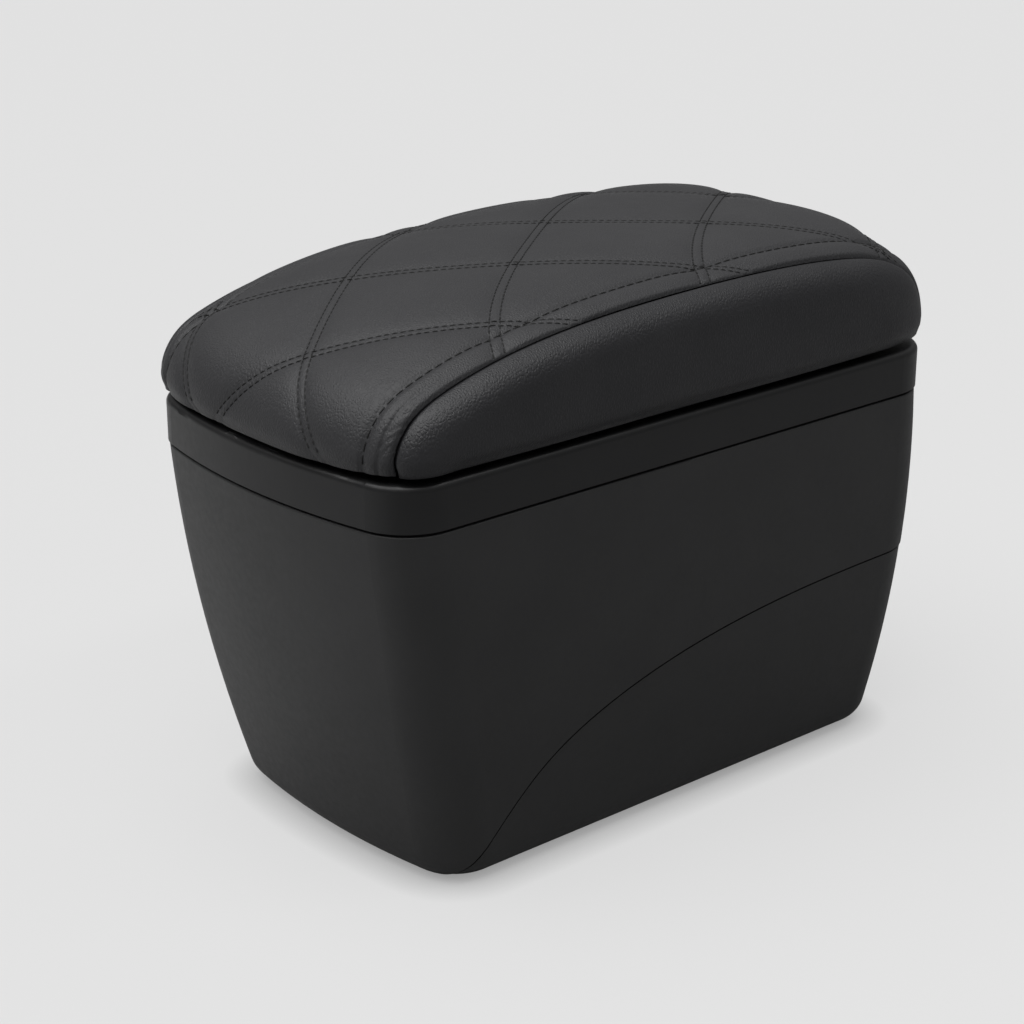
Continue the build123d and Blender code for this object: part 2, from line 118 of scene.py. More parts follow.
@dataclass(frozen=True)
class Finish:
    """Surface finish that follows the piece's own coordinates.

    Attributes:
        name: Name of the material.
        dark: Darker tone of the surface, linear.
        light: Lighter tone of the surface, linear.
        roughness: Mean roughness.
        grain: Kind of relief.
        grain_size: Size of one grain, in metres.
        grain_depth: Height of the relief, in metres.
        metallic: 1 for bare metal.
        mottle_size: Size of the tone's patches, in metres.
        specular: Specular level of the shader.
        roughness_spread: How far the roughness strays from its mean.
    """

    name: str
    dark: tuple[float, float, float]
    light: tuple[float, float, float]
    roughness: float
    grain: Grain
    grain_size: float = 0.7 * MM
    grain_depth: float = 0.05 * MM
    metallic: float = 0.0
    mottle_size: float = 30 * MM
    specular: float = 0.5
    roughness_spread: float = 0.08

    def build(self) -> bpy.types.Material:
        """Makes the material, or returns the one made before.

        Returns:
            The finish as a node material.
        """
        found = bpy.data.materials.get(self.name)
        if found:
            return found
        material = bpy.data.materials.new(self.name)
        material.use_nodes = True
        sheet = NodeSheet(material.node_tree)
        output = sheet.add("ShaderNodeOutputMaterial")
        shader = sheet.add("ShaderNodeBsdfPrincipled")
        shader.inputs["Metallic"].default_value = self.metallic
        shader.inputs["Specular IOR Level"].default_value = self.specular
        place = sheet.add("ShaderNodeTexCoord")
        self._tone(sheet, place, shader)
        self._roughness(sheet, place, shader)
        self._relief(sheet, place, shader)
        sheet.link(shader.outputs["BSDF"], output.inputs["Surface"])
        return material

    def _noise(self, sheet: NodeSheet, place: bpy.types.Node, size: float,
               stretch: tuple[float, float, float], detail: float) -> bpy.types.Node:
        """Adds a noise texture over the piece's coordinates.

        Args:
            sheet: The sheet to add to.
            place: The texture coordinate node.
            size: Size of a patch, in metres.
            stretch: Factors that shrink the pattern along each axis.
            detail: Octaves of the noise.

        Returns:
            The noise node.
        """
        mapping = sheet.add("ShaderNodeMapping")
        mapping.inputs["Scale"].default_value = stretch
        noise = sheet.add("ShaderNodeTexNoise")
        noise.inputs["Scale"].default_value = 1 / size
        noise.inputs["Detail"].default_value = detail
        sheet.link(place.outputs["Object"], mapping.inputs["Vector"])
        sheet.link(mapping.outputs["Vector"], noise.inputs["Vector"])
        return noise

    def _tone(self, sheet: NodeSheet, place: bpy.types.Node, shader: bpy.types.Node) -> None:
        """Mottles the colour between the two tones.

        Args:
            sheet: The sheet to add to.
            place: The texture coordinate node.
            shader: The shader to colour.
        """
        noise = self._noise(sheet, place, self.mottle_size, EVEN, MOTTLE_OCTAVES)
        ramp = sheet.add("ShaderNodeValToRGB")
        stops = ramp.color_ramp.elements
        for stop, position, tone in zip(stops, MOTTLE_SPAN, (self.dark, self.light)):
            stop.position = position
            stop.color = (*tone, 1)
        sheet.link(noise.outputs["Fac"], ramp.inputs["Fac"])
        sheet.link(ramp.outputs["Color"], shader.inputs["Base Color"])

    def _roughness(self, sheet: NodeSheet, place: bpy.types.Node, shader: bpy.types.Node) -> None:
        """Varies the roughness a little in fine patches.

        Args:
            sheet: The sheet to add to.
            place: The texture coordinate node.
            shader: The shader to vary.
        """
        noise = self._noise(sheet, place, PATCH_GRAINS * self.grain_size, EVEN, PATCH_OCTAVES)
        span = sheet.add("ShaderNodeMapRange")
        span.inputs["To Min"].default_value = self.roughness - self.roughness_spread
        span.inputs["To Max"].default_value = min(self.roughness + self.roughness_spread, 1)
        sheet.link(noise.outputs["Fac"], span.inputs["Value"])
        sheet.link(span.outputs["Result"], shader.inputs["Roughness"])

    def _hide(self, sheet: NodeSheet, place: bpy.types.Node) -> bpy.types.NodeSocket:
        """Pebbles of an embossed hide, drawn long from top to bottom and bent by a noise.

        Args:
            sheet: The sheet to add to.
            place: The texture coordinate node.

        Returns:
            The socket with the height.
        """
        stretch, octaves = self.grain.value
        bend = self._noise(sheet, place, BEND_GRAINS * self.grain_size, EVEN, octaves)
        push = sheet.add("ShaderNodeVectorMath", operation="SCALE")
        push.inputs["Scale"].default_value = self.grain_size
        shifted = sheet.add("ShaderNodeVectorMath", operation="ADD")
        mapping = sheet.add("ShaderNodeMapping")
        mapping.inputs["Scale"].default_value = stretch
        cells = sheet.add("ShaderNodeTexVoronoi", feature="DISTANCE_TO_EDGE")
        cells.inputs["Scale"].default_value = 1 / self.grain_size
        crease = sheet.add("ShaderNodeMapRange", interpolation_type="SMOOTHSTEP")
        crease.inputs["From Max"].default_value = CREASE_SHARE
        sheet.link(bend.outputs["Color"], push.inputs[0])
        sheet.link(place.outputs["Object"], shifted.inputs[0])
        sheet.link(push.outputs["Vector"], shifted.inputs[1])
        sheet.link(shifted.outputs["Vector"], mapping.inputs["Vector"])
        sheet.link(mapping.outputs["Vector"], cells.inputs["Vector"])
        sheet.link(cells.outputs["Distance"], crease.inputs["Value"])
        return crease.outputs["Result"]

    def _relief(self, sheet: NodeSheet, place: bpy.types.Node, shader: bpy.types.Node) -> None:
        """Adds the fine relief of the finish.

        Args:
            sheet: The sheet to add to.
            place: The texture coordinate node.
            shader: The shader to bump.
        """
        if self.grain is Grain.HIDE:
            height = self._hide(sheet, place)
        else:
            height = self._noise(sheet, place, self.grain_size, *self.grain.value).outputs["Fac"]
        bump = sheet.add("ShaderNodeBump")
        bump.inputs["Strength"].default_value = 1.0
        bump.inputs["Distance"].default_value = self.grain_depth
        sheet.link(height, bump.inputs["Height"])
        sheet.link(bump.outputs["Normal"], shader.inputs["Normal"])


TOP_LEATHER = Finish("top_leatherette", (0.029, 0.029, 0.031), (0.034, 0.034, 0.036), 0.46, Grain.HIDE,
                     grain_size=1.15 * MM, grain_depth=0.095 * MM, specular=0.36)
# The sides' leather is the top's leatherette in a darker tone: painted shade on the lid's sides, which
# get less of the light from above.
SHADED_SIDE_LEATHER = Finish("side_leatherette_painted_shade", (0.017, 0.017, 0.019), (0.022, 0.022, 0.024), 0.44, Grain.HIDE,
                      grain_size=1.15 * MM, grain_depth=0.105 * MM, specular=0.42)
THREAD = Finish("black_thread", (0.007, 0.007, 0.007), (0.013, 0.013, 0.013), 0.6, Grain.FIBRE,
                grain_size=0.3 * MM, grain_depth=0.05 * MM, specular=0.3)
BODY_PLASTIC = Finish("moulded_body", (0.023, 0.023, 0.0235), (0.027, 0.027, 0.0275), 0.46, Grain.SPARK,
                      grain_size=0.5 * MM, grain_depth=0.02 * MM, specular=0.4)
RIM_PLASTIC = Finish("moulded_rim", (0.010, 0.010, 0.0105), (0.0125, 0.0125, 0.013), 0.36, Grain.SPARK,
                     grain_size=0.5 * MM, grain_depth=0.012 * MM, specular=0.38)
INNER_PLASTIC = Finish("inner_plastic", (0.012, 0.012, 0.0125), (0.016, 0.016, 0.0165), 0.6, Grain.SPARK,
                       grain_size=0.6 * MM, grain_depth=0.03 * MM, specular=0.4)
FELT = Finish("bin_felt", (0.012, 0.012, 0.013), (0.022, 0.022, 0.023), 0.92, Grain.FIBRE,
              grain_size=0.5 * MM, grain_depth=0.15 * MM, mottle_size=4 * MM, specular=0.1)
RUBBER = Finish("black_rubber", (0.010, 0.010, 0.010), (0.016, 0.016, 0.016), 0.8, Grain.SPARK,
                grain_size=0.4 * MM, grain_depth=0.03 * MM, specular=0.3)
ZINC = Finish("zinc_screw", (0.42, 0.43, 0.45), (0.55, 0.56, 0.58), 0.35, Grain.STREAK, metallic=1.0,
              grain_size=0.4 * MM, grain_depth=0.01 * MM, mottle_size=5 * MM)
STEEL = Finish("bright_steel", (0.50, 0.50, 0.51), (0.60, 0.60, 0.61), 0.28, Grain.STREAK, metallic=1.0,
               grain_size=0.4 * MM, grain_depth=0.01 * MM, mottle_size=8 * MM)
NICKEL = Finish("nickel_plate", (0.56, 0.54, 0.51), (0.64, 0.62, 0.59), 0.22, Grain.SPARK, metallic=1.0,
                grain_size=0.5 * MM, grain_depth=0.005 * MM, mottle_size=8 * MM)
NYLON = Finish("natural_nylon", (0.60, 0.58, 0.53), (0.66, 0.64, 0.59), 0.5, Grain.SPARK,
               grain_size=0.4 * MM, grain_depth=0.01 * MM, mottle_size=6 * MM)
# The foam is given a dark tone close to the leather's: painted shade where it shows through the slits of
# the lid's seams.
SEAM_SHADE_FOAM = Finish("lid_foam", (0.030, 0.030, 0.031), (0.045, 0.045, 0.046), 0.95, Grain.SPARK,
              grain_size=0.8 * MM, grain_depth=0.3 * MM, mottle_size=3 * MM, specular=0.1)

NODE_FINISHES: dict[str, Finish] = {
    "body_shell": BODY_PLASTIC, "base_shell": BODY_PLASTIC, "rim_collar": RIM_PLASTIC,
    "storage_bin": INNER_PLASTIC, "bin_mat": FELT, "bin_screws": ZINC, "collar_screws": ZINC,
    "foot_pads": RUBBER, "hinge_pin": STEEL, "pin_retainer": STEEL, "catch_magnet": NICKEL,
    "lid_bumpers": RUBBER, "lid_pan": INNER_PLASTIC, "lid_foam": SEAM_SHADE_FOAM, "lid_liner": INNER_PLASTIC,
    "lid_screws": ZINC, "keeper_plate": STEEL, "hinge_bushes": NYLON,
}


def new_mesh_object(name: str, points: np.ndarray, faces: list[tuple[int, ...]],
                    material: bpy.types.Material) -> bpy.types.Object:
    """Makes a smooth mesh piece at the origin.

    Args:
        name: Name of the piece.
        points: Vertices, one row each, in metres.
        faces: Vertex numbers of each face, turned outwards.
        material: The piece's material.

    Returns:
        The linked object.
    """
    mesh = bpy.data.meshes.new(name)
    mesh.from_pydata(points.tolist(), [], faces)
    mesh.polygons.foreach_set("use_smooth", [True] * len(mesh.polygons))
    mesh.materials.append(material)
    mesh.update()
    piece = bpy.data.objects.new(name, mesh)
    bpy.context.scene.collection.objects.link(piece)
    return piece


def shell_faces(rows: int, columns: int) -> list[tuple[int, ...]]:
    """Faces of a closed shell made of an outer and an inner grid with the same layout.

    Args:
        rows: Points along the first direction of each grid.
        columns: Points along the second direction of each grid.

    Returns:
        The faces of the outer grid, the turned inner grid and the rim between them.
    """
    count = rows * columns
    faces: list[tuple[int, ...]] = []
    for i in range(rows - 1):
        for j in range(columns - 1):
            a, b = i * columns + j, (i + 1) * columns + j
            faces.append((a, b, b + 1, a + 1))
            faces.append((a + count + 1, b + count + 1, b + count, a + count))
    loop = list(range(columns))
    loop += [i * columns + columns - 1 for i in range(1, rows)]
    loop += [(rows - 1) * columns + j for j in range(columns - 2, -1, -1)]
    loop += [i * columns for i in range(rows - 2, 0, -1)]
    for k, a in enumerate(loop):
        b = loop[(k + 1) % len(loop)]
        faces.append((a, b, b + count, a + count))
    return faces


def smooth_curve(knots: np.ndarray, lengths: np.ndarray, samples: int) -> np.ndarray:
    """Natural cubic curve through a few knots.

    Args:
        knots: The knots, one row each.
        lengths: Running length at each knot.
        samples: Number of points wanted.

    Returns:
        Points along the curve, one row each.
    """
    step = np.diff(lengths)
    slope = np.diff(knots, axis=0) / step[:, None]
    count = len(knots)
    system = np.eye(count)
    right = np.zeros_like(knots)
    for i in range(1, count - 1):
        system[i, i - 1:i + 2] = step[i - 1], 2 * (step[i - 1] + step[i]), step[i]
        right[i] = 6 * (slope[i] - slope[i - 1])
    bend = np.linalg.solve(system, right)
    at = np.linspace(0, lengths[-1], samples)
    k = np.clip(np.searchsorted(lengths, at, side="right") - 1, 0, count - 2)
    t = (at - lengths[k])[:, None]
    h = step[k][:, None]
    first = slope[k] - h * (2 * bend[k] + bend[k + 1]) / 6
    return knots[k] + first * t + bend[k] * t**2 / 2 + (bend[k + 1] - bend[k]) * t**3 / (6 * h)


@dataclass
class LidArch:
    """Arched form of the lid, measured from the frame's own pieces.

    Attributes:
        crown: Rise of the strip's middle above its seams.
        front_crown: Bow of the strip's front edge.
        rear_crown: Bow of the strip's rear edge.
        crown_power: How squarely the strip rises from its seams.
        rear_fullness: How much fuller the rear shoulder is in the middle of the strip.
        top_share: Place of the highest point along the profile.
        shape: The side profile from the front edge to the rear edge, as shares of its length and height.
        samples: Points used to follow the profile.
        low: Lower corner of the right side panel's box.
        high: Upper corner of that box.
        half: Half of the strip's width.
        profile: Points of the side profile, as shares of its length and height.
    """

    crown: float = 9.6 * MM
    front_crown: float = 13 * MM
    rear_crown: float = 8 * MM
    crown_power: float = 3.5
    rear_fullness: float = 1.28
    top_share: float = 0.616
    shape: tuple[tuple[float, float], ...] = (
        (0, 0), (0.011, 0.258), (0.032, 0.438), (0.085, 0.618), (0.208, 0.825), (0.422, 0.971),
        (0.616, 1), (0.816, 0.939), (0.922, 0.787), (0.978, 0.528), (0.999, 0.1), (1, 0),
    )
    samples: int = 500
    low: Vector = field(init=False)
    high: Vector = field(init=False)
    half: float = field(init=False)
    profile: np.ndarray = field(init=False)

    def __post_init__(self) -> None:
        """Takes the lid's ends, height and width from the frame."""
        self.low, self.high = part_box("side_panel_right")
        self.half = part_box("top_cover")[1].x
        knots = np.array(self.shape)
        size = np.array([self.high.y - self.low.y, self.high.z - self.low.z])
        steps = np.linalg.norm(np.diff(knots * size, axis=0), axis=1)
        self.profile = smooth_curve(knots, np.concatenate([[0], np.cumsum(steps)]), self.samples)

    def line(self, x: float, front_in: float = 0.0, rear_in: float = 0.0,
             top: float = 0.0) -> np.ndarray:
        """Side profile at a width.

        Args:
            x: Distance from the middle.
            front_in: How far the front end moves inwards.
            rear_in: How far the rear end moves inwards.
            top: How far the top moves down.

        Returns:
            Points of the profile, one row each.
        """
        bulge = 1 - min(abs(x) / self.half, 1) ** self.crown_power
        front = self.low.y - self.front_crown * bulge + front_in
        rear = self.high.y + self.rear_crown * bulge - rear_in
        height = self.high.z - self.low.z + self.crown * bulge - top
        fuller = 1 + (self.rear_fullness - 1) * bulge
        fullness = np.where(self.profile[:, 0] > self.top_share, fuller, 1)
        y = front + (rear - front) * self.profile[:, 0]
        z = self.low.z + height * (1 - np.clip(1 - self.profile[:, 1], 0, 1) ** fullness)
        return np.column_stack([np.full(len(y), x), y, z])

    def run(self, x: float) -> tuple[np.ndarray, np.ndarray]:
        """Side profile at a width, with its running length.

        Args:
            x: Distance from the middle.

        Returns:
            The profile's points and the length from the front edge to each.
        """
        points = self.line(x)
        steps = np.linalg.norm(np.diff(points, axis=0), axis=1)
        return points, np.concatenate([[0], np.cumsum(steps)])

    def at(self, x: float, along: np.ndarray) -> np.ndarray:
        """Points of the strip at one width.

        Args:
            x: Distance from the middle.
            along: Lengths from the front edge.

        Returns:
            The points, one row each.
        """
        points, length = self.run(x)
        return np.column_stack([np.interp(along, length, points[:, k]) for k in range(3)])


@dataclass(frozen=True)
class RowFamily:
    """Parallel double rows of the quilting.

    Attributes:
        slant: Direction of the rows.
        start: Place of one row on the middle line, from the front edge.
        pitch: Distance between rows along the strip.
        slope: Length along the strip for each unit of width.
        first: Number of the first row.
        last: Number of the last row.
    """

    slant: Slant
    start: float
    pitch: float
    slope: float
    first: int
    last: int

    def middle(self, row: int) -> float:
        """Place of a row on the middle line."""
        return self.start + row * self.pitch

    def stretch(self) -> float:
        """Length along the strip that crosses a unit of distance between rows."""
        return math.hypot(1, self.slope)

    def along(self, row: int, x: np.ndarray, offset: float) -> np.ndarray:
        """Lengths from the front edge of one thread of a row.

        Args:
            row: Number of the row.
            x: Distances from the middle.
            offset: Distance of the thread from the row's centre.

        Returns:
            The length at each distance.
        """
        return self.middle(row) + self.slant.value * self.slope * x + offset * self.stretch()

    def gap(self, x: np.ndarray, along: np.ndarray) -> np.ndarray:
        """Distance to the nearest row.

        Args:
            x: Distances from the middle.
            along: Lengths from the front edge.

        Returns:
            The distances, measured over the strip.
        """
        turns = (along - self.slant.value * self.slope * x - self.start) / self.pitch
        nearest = np.clip(np.round(turns), self.first, self.last)
        return np.abs(turns - nearest) * self.pitch / self.stretch()


@dataclass
class Quilting:
    """Diamond quilting of the strip, in double rows.

    Attributes:
        families: The two crossing families of rows.
        row_half: Half of the distance between the two threads of a row.
        dip: Depth of a row below the plain strip.
        puff: Rise of a diamond above its rows.
        reach: Distance over which a diamond rises.
        ridge: Rise of the strip between the two threads of a row.
        topstitch_x: Distance of the edge's topstitch from the middle.
        topstitch_dip: Depth of the topstitch.
        topstitch_reach: Half width of the topstitch's groove.
        band_rise: Rise of the band between topstitch and seam.
        seam_dip: Depth of the seam at the strip's edge.
        seam_reach: Width over which the edge turns down.
        tuck: How far the front and rear edges curl in.
        tuck_reach: Height of that curl.
        fold_x: Distance of the fold beside the seam at the front corners from the middle.
        fold_dip: Depth of that fold.
        fold_reach: Half width of that fold.
        fold_length: Length over which that fold fades out.
        wrinkles: Short creases beside that fold, each from one width and length to another.
        wrinkle_dip: Depth of a crease.
        wrinkle_reach: Half width of a crease.
    """

    families: tuple[RowFamily, ...] = (
        RowFamily(Slant.FALLING, 58.3 * MM, 104.4 * MM, 1.315, -1, 4),
        RowFamily(Slant.RISING, 22.7 * MM, 90.1 * MM, 1.147, 0, 5),
    )
    row_half: float = 1.6 * MM
    dip: float = 0.9 * MM
    puff: float = 1.6 * MM
    reach: float = 4.6 * MM
    ridge: float = 0.35 * MM
    topstitch_x: float = 62.8 * MM
    topstitch_dip: float = 0.8 * MM
    topstitch_reach: float = 1.5 * MM
    band_rise: float = 0.8 * MM
    seam_dip: float = 1.5 * MM
    seam_reach: float = 0.9 * MM
    tuck: float = 2.6 * MM
    tuck_reach: float = 3.6 * MM
    fold_x: float = 68.6 * MM
    fold_dip: float = 0.8 * MM
    fold_reach: float = 0.7 * MM
    fold_length: float = 70 * MM
    wrinkles: tuple[tuple[float, float, float, float], ...] = (
        (72.8 * MM, 17 * MM, 68.4 * MM, 11 * MM), (73.0 * MM, 21 * MM, 69.6 * MM, 16.5 * MM),
        (71.4 * MM, 11.5 * MM, 69.2 * MM, 7 * MM), (71.2 * MM, 25 * MM, 69.0 * MM, 21 * MM),
    )
    wrinkle_dip: float = 0.26 * MM
    wrinkle_reach: float = 0.5 * MM

    def relief(self, x: np.ndarray, along: np.ndarray, half: float, length: float) -> np.ndarray:
        """Height of the quilted strip over its plain form.

        Args:
            x: Distances from the middle.
            along: Lengths from the front edge.
            half: Half of the strip's width.
            length: Length of the strip at this width.

        Returns:
            The heights.
        """
        rise = np.ones_like(x)
        ridge = np.zeros_like(x)
        for family in self.families:
            gap = family.gap(x, along)
            outside = np.maximum(gap - self.row_half, 0)
            rise = rise * (1 - np.exp(-outside / self.reach))
            ridge = np.maximum(ridge, 1 - (gap / self.row_half) ** 2)
        height = self.puff * rise + self.ridge * np.maximum(ridge, 0) - self.dip
        stitch = np.exp(-((np.abs(x) - self.topstitch_x) / self.topstitch_reach) ** 2)
        across = np.clip((np.abs(x) - self.topstitch_x) / (half - self.topstitch_x), 0, 1)
        band = np.sin(math.pi * across)
        edge = np.exp(-((half - np.abs(x)) / self.seam_reach) ** 2)
        end = np.minimum(along, length - along)
        curl = np.exp(-((end / self.tuck_reach) ** 2))
        height += self.band_rise * band - self.topstitch_dip * stitch - self.seam_dip * edge
        fold = np.exp(-((np.abs(x) - self.fold_x) / self.fold_reach) ** 2)
        height -= self.fold_dip * fold * np.clip(1 - along / self.fold_length, 0, 1)
        return height - self.tuck * curl - self._creases(np.abs(x), along)

    def _creases(self, x: np.ndarray, along: np.ndarray) -> np.ndarray:
        """Depth of the short creases at the front corners.

        Args:
            x: Distances from the middle, without sign.
            along: Lengths from the front edge.

        Returns:
            The depths.
        """
        depth = np.zeros_like(x)
        for x0, s0, x1, s1 in self.wrinkles:
            dx, ds = x1 - x0, s1 - s0
            share = np.clip(((x - x0) * dx + (along - s0) * ds) / (dx**2 + ds**2), 0, 1)
            gap = np.hypot(x - x0 - share * dx, along - s0 - share * ds)
            depth = np.maximum(depth, np.exp(-((gap / self.wrinkle_reach) ** 2)))
        return self.wrinkle_dip * depth


@dataclass
class TopCover:
    """Quilted strip that rolls over the lid's front edge.

    Attributes:
        arch: Form of the lid.
        quilting: Pattern of the strip.
        thickness: Thickness of the padded strip.
        slit: Distance of the strip's edge from the seam's middle.
        hem: Free length at the strip's front and rear edges.
        columns: Points across the strip's middle.
        edge_columns: Points across each of the strip's edges.
        edge_width: Width of those edges.
        rows: Points along the strip.
        tail_rows: How many of them lie in the tail above the hinge.
        tail: Length of that tail.
        notch_half: Half width of the room for the hinge.
        notch_top: Height of the room for the hinge above the lid's edge.
        probe: Step by which the surface's slope is measured.
    """

    arch: LidArch
    quilting: Quilting
    thickness: float = 2.8 * MM
    slit: float = 0.1 * MM
    hem: float = 0.5 * MM
    columns: int = 141
    edge_columns: int = 36
    edge_width: float = 15 * MM
    rows: int = 481
    tail_rows: int = 40
    tail: float = 30 * MM
    notch_half: float = 44.5 * MM
    notch_top: float = 5.2 * MM
    probe: float = 0.5 * MM

    def surface(self, x: float, along: np.ndarray) -> tuple[np.ndarray, np.ndarray]:
        """Points and normals of the quilted surface at one width.

        Args:
            x: Distance from the middle.
            along: Lengths from the front edge.

        Returns:
            The points and the outward normals, one row each.
        """
        step = self.probe
        length = self.arch.run(x)[1][-1]
        share = along / length
        here = self.arch.at(x, along)
        beside = [self.arch.at(x + d, share * self.arch.run(x + d)[1][-1]) for d in (-step, step)]
        ahead = self.arch.at(x, along + step) - self.arch.at(x, along - step)
        normal = np.cross(beside[1] - beside[0], ahead)
        normal /= np.linalg.norm(normal, axis=1)[:, None]
        height = self.quilting.relief(np.full(len(along), x), along, self.arch.half, length)
        return here + normal * height[:, None], normal

    def lengths(self, x: float) -> np.ndarray:
        """Lengths of the grid's points at one width, stopped above the hinge.

        Args:
            x: Distance from the middle.

        Returns:
            The lengths from the front edge.
        """
        points, run = self.arch.run(x)
        end = run[-1] - self.hem
        if abs(x) < self.notch_half:
            rear = points[:, 1] > 0
            above = points[:, 2] > self.arch.low.z + self.notch_top
            end = run[rear & above][-1]
        body = np.linspace(self.hem, run[-1] - self.tail, self.rows - self.tail_rows, endpoint=False)
        return np.concatenate([body, np.linspace(run[-1] - self.tail, end, self.tail_rows)])

    def build(self) -> bpy.types.Object:
        """Makes the strip as a closed padded shell.

        Returns:
            The piece, riding on the lid.
        """
        half = self.arch.half - self.slit
        bend = half - self.edge_width
        edge = np.linspace(bend, half, self.edge_columns)[1:]
        widths = np.concatenate([-edge[::-1], np.linspace(-bend, bend, self.columns), edge])
        outer = np.zeros((len(widths), self.rows, 3))
        inner = np.zeros_like(outer)
        for i, x in enumerate(widths):
            along = self.lengths(x)
            outer[i], normal = self.surface(x, along)
            inner[i] = self.arch.at(x, along) - normal * (self.thickness + self.quilting.dip)
        points = np.concatenate([outer.reshape(-1, 3), inner.reshape(-1, 3)])
        faces = shell_faces(len(widths), self.rows)
        piece = new_mesh_object("quilted_cover", points, faces, TOP_LEATHER.build())
        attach(piece, "lid")
        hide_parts("top_cover")
        return piece


@dataclass
class SidePanel:
    """Padded panel on one side of the lid, sewn to the strip along the arched seam.

    Attributes:
        arch: Form of the lid.
        side: Side of the lid.
        front_wrap: How far the panel turns round the lid's front end.
        rear_wrap: How far the panel turns round the lid's rear end.
        rear_lead: How far the rear end moves forward from the seam at once.
        top_wrap: How far the panel turns over the top.
        belly: Extra bulge at mid height.
        tuck: How far the lower edge curls in.
        tuck_reach: Height of that curl.
        seam_dip: Depth of the seam.
        seam_reach: Width over which the edge turns into the seam.
        press: How far the panel's back is pressed into the strip's edge.
        back_lap: How far the first row of the panel's back lies behind the others.
        foot_share: Share of the lid's length by which each end of the lowest row lies further in.
        tuck_core: Distance from the ends of the line that the edge curls towards.
        turn_steps: Rows of the grid round the turned edge.
        face_steps: Rows of the grid on the panel's face.
        stride: Points of the profile for each point of a row.
    """

    arch: LidArch
    side: Side
    front_wrap: float = 18 * MM
    rear_wrap: float = 23 * MM
    rear_lead: float = 10.5 * MM
    top_wrap: float = 14 * MM
    belly: float = 0.6 * MM
    tuck: float = 2.8 * MM
    tuck_reach: float = 3.6 * MM
    seam_dip: float = 1.5 * MM
    seam_reach: float = 0.9 * MM
    press: float = 0.2 * MM
    back_lap: float = 0.05 * MM
    foot_share: float = 1 / 3
    tuck_core: float = 25 * MM
    turn_steps: int = 26
    face_steps: int = 30
    stride: int = 3

    def build(self) -> bpy.types.Object:
        """Makes the panel as a closed padded solid.

        Returns:
            The piece, riding on the lid.
        """
        inside = self.arch.half - self.press
        bulge = self.arch.high.x - inside
        rows = []
        for turn in np.linspace(0, math.pi / 2, self.turn_steps):
            fade = 1 - math.cos(turn)
            rear_in = self.rear_wrap * fade + self.rear_lead * math.sin(turn)
            row = self.arch.line(self.arch.half, self.front_wrap * fade, rear_in, self.top_wrap * fade)
            row = row[::self.stride]
            row[:, 0] = inside + bulge * math.sin(turn)
            rows.append(self._sunk_edge(row, bulge * turn))
        reach = (self.arch.high.y - self.arch.low.y) * self.foot_share
        height = self.arch.high.z - self.arch.low.z - self.top_wrap
        for share in np.linspace(0, 1, self.face_steps)[1:]:
            rear_in = self.rear_wrap + self.rear_lead + reach * share
            top = self.top_wrap + height * share
            row = self.arch.line(self.arch.half, self.front_wrap + reach * share, rear_in, top)
            row = row[::self.stride]
            row[:, 0] = self.arch.high.x + self.belly * math.sin(math.pi * share)
            rows.append(row)
        outer = self._curled(np.array(rows), inside)
        inner = outer.copy()
        inner[:, :, 0] = inside
        inner[0, :, 0] = inside - self.back_lap
        points = np.concatenate([outer.reshape(-1, 3), inner.reshape(-1, 3)])
        points[:, 0] *= self.side.value
        faces = shell_faces(*outer.shape[:2])
        if self.side is Side.LEFT:
            faces = [tuple(reversed(face)) for face in faces]
        name = "side_panel_" + self.side.name.lower()
        piece = new_mesh_object(name + "_cover", points, faces, SHADED_SIDE_LEATHER.build())
        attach(piece, "lid")
        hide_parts(name)
        return piece

    def _curled(self, outer: np.ndarray, inside: float) -> np.ndarray:
        """Curls the lower edge in, on the side and at both ends.

        Args:
            outer: Grid of the panel's outside.
            inside: Width of the panel's back.

        Returns:
            The curled grid.
        """
        curl = self.tuck * np.exp(-(((outer[:, :, 2] - self.arch.low.z) / self.tuck_reach) ** 2))
        front, rear = self.arch.low.y + self.tuck_core, self.arch.high.y - self.tuck_core
        core = np.clip(outer[:, :, 1], front, rear)
        lean = np.stack([inside - outer[:, :, 0], core - outer[:, :, 1]], axis=2)
        lean /= np.linalg.norm(lean, axis=2)[:, :, None] + TINY
        moved = outer.copy()
        moved[:, :, :2] += lean * curl[:, :, None]
        moved[:, :, 0] = np.maximum(moved[:, :, 0], inside)
        return moved

    def _sunk_edge(self, row: np.ndarray, distance: float) -> np.ndarray:
        """Draws a row near the seam inwards.

        Args:
            row: Points along the panel.
            distance: Distance of the row from the seam.

        Returns:
            The moved points.
        """
        middle = np.array([row[0, 0], (self.arch.low.y + self.arch.high.y) / 2, self.arch.low.z])
        inwards = middle - row
        inwards[:, 0] = 0
        inwards /= np.linalg.norm(inwards, axis=1)[:, None]
        return row + inwards * self.seam_dip * math.exp(-((distance / self.seam_reach) ** 2))


@dataclass(frozen=True)
class Stitch:
    """Size of one stitch.

    Attributes:
        pitch: Distance from stitch to stitch.
        length: Length of a stitch.
        radius: Radius of the thread.
        rise: Height of a stitch's middle over its ends.
    """

    pitch: float
    length: float
    radius: float
    rise: float


